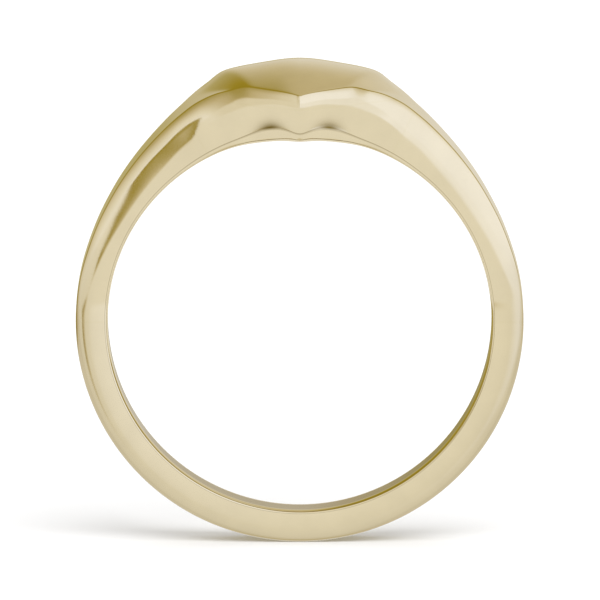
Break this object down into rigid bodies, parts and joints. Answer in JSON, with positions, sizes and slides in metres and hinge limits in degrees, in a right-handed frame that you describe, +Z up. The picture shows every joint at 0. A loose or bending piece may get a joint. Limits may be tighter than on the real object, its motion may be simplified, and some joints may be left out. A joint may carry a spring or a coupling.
{
  "type": "signet ring",
  "caption": "Slim polished gold signet ring with a domed heart face, its tip and lobes lying along the finger, and shoulders that taper into a plain band.",
  "frame": {"origin": "centre of the finger hole, in the middle of the band's width", "axes": "+Z up through the face, Y along the finger with the heart's tip at -Y, X from shoulder to shoulder"},
  "size_m": [0.0202, 0.0083, 0.0219],
  "materials": {
    "gold": null,
    "solder": "polished gold solder, filed flush with the gold around it"
  },
  "bodies": {
    "root": {"signet_face": "gold", "face_solder": "solder", "head_base": "gold", "left_shoulder": "gold", "right_shoulder": "gold", "left_head_solder": "solder", "right_head_solder": "solder", "lower_shank": "gold", "left_shank_solder": "solder", "right_shank_solder": "solder"}
  },
  "joints": []
}
